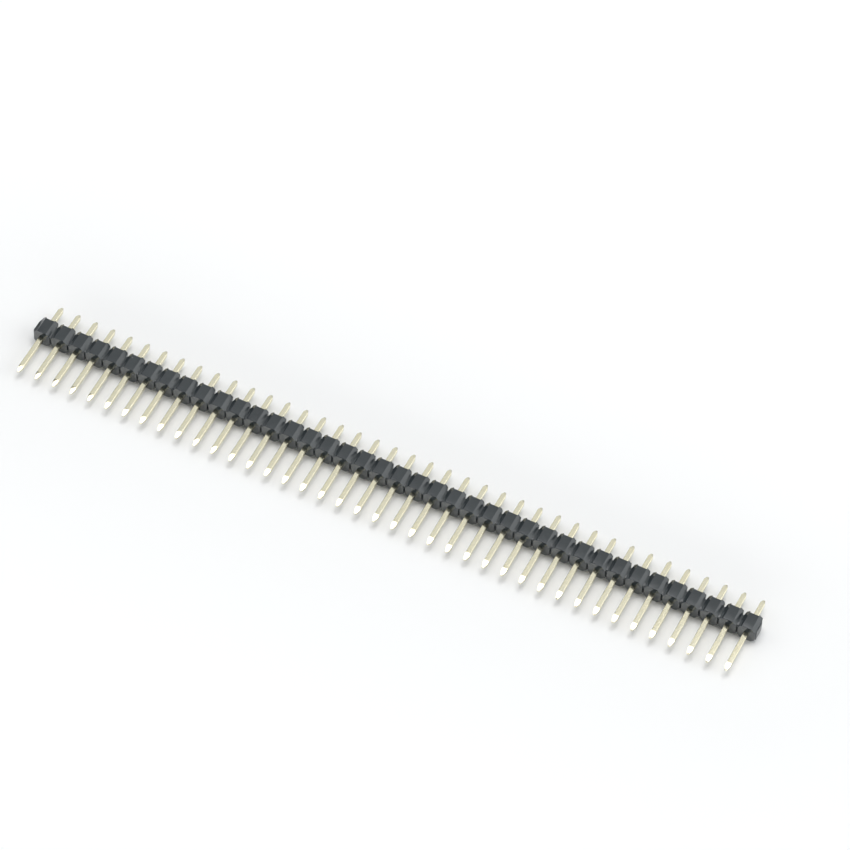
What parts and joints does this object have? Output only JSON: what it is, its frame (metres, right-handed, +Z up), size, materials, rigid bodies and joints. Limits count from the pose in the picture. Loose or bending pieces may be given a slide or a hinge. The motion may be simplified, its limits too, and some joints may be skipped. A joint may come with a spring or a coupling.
{
  "type": "pin header strip",
  "caption": "Straight single-row breakaway header: square contact pins pressed through a black notched insulating bar, to solder to a board and plug into a socket.",
  "frame": {"origin": "centre of the bounding box, on the plane that the strip rests on", "axes": "+X along the row, +Y along the pins towards the solder tails, +Z up, away from the side that the strip lies on"},
  "size_m": [0.1016, 0.0116, 0.0025],
  "materials": {
    "housing": "moulded glass-filled plastic, black, satin",
    "pins": "square brass wire with a thin pale gold flash"
  },
  "bodies": {
    "root": {"housing": "housing", "pin_01": "pins", "pin_02": "pins", "pin_03": "pins", "pin_04": "pins", "pin_05": "pins", "pin_06": "pins", "pin_07": "pins", "pin_08": "pins", "pin_09": "pins", "pin_10": "pins", "pin_11": "pins", "pin_12": "pins", "pin_13": "pins", "pin_14": "pins", "pin_15": "pins", "pin_16": "pins", "pin_17": "pins", "pin_18": "pins", "pin_19": "pins", "pin_20": "pins", "pin_21": "pins", "pin_22": "pins", "pin_23": "pins", "pin_24": "pins", "pin_25": "pins", "pin_26": "pins", "pin_27": "pins", "pin_28": "pins", "pin_29": "pins", "pin_30": "pins", "pin_31": "pins", "pin_32": "pins", "pin_33": "pins", "pin_34": "pins", "pin_35": "pins", "pin_36": "pins", "pin_37": "pins", "pin_38": "pins", "pin_39": "pins", "pin_40": "pins"}
  },
  "joints": []
}
